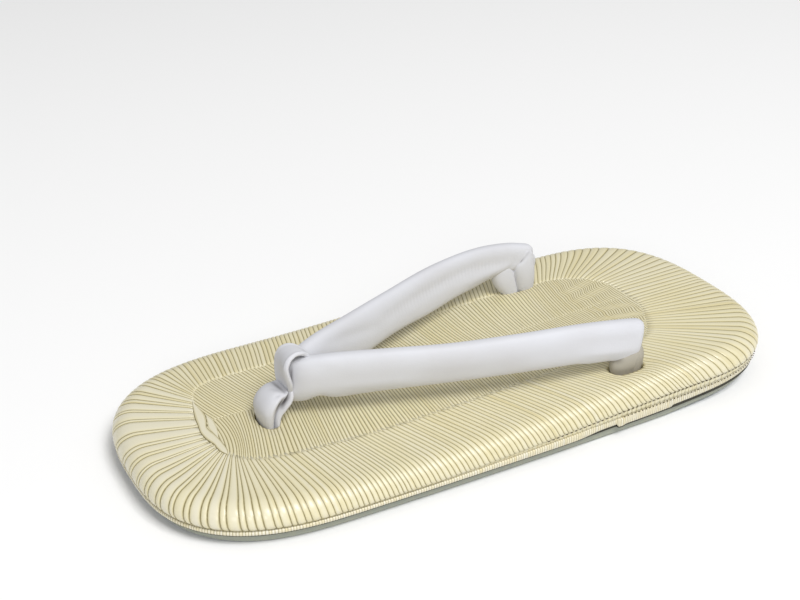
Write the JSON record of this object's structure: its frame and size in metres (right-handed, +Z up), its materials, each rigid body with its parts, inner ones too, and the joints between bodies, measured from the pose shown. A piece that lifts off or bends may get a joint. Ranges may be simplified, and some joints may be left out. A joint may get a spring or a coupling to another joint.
{
  "type": "zori sandal",
  "caption": "Flat zori sandal with a rolled tatami-look footbed, grey sheet sole, heel pad and a padded white V strap with a toe loop",
  "frame": {"origin": "on the floor under the middle of the outline", "axes": "+X to the toe, +Y to the wearer's left, +Z up"},
  "size_m": [0.2652, 0.1166, 0.0413],
  "materials": {
    "sole_sheet": "pebbled matte",
    "heel_rubber": "smooth satin amber",
    "edge_binding": "fine ribs, satin",
    "tatami_sheet": "embossed ribs, glossy vinyl",
    "strap_leather": "smooth satin"
  },
  "bodies": {
    "root": {"outsole": "sole_sheet", "heel_patch": "heel_rubber", "binding": "edge_binding", "footbed": "tatami_sheet", "upper_strap": "strap_leather"}
  },
  "joints": []
}
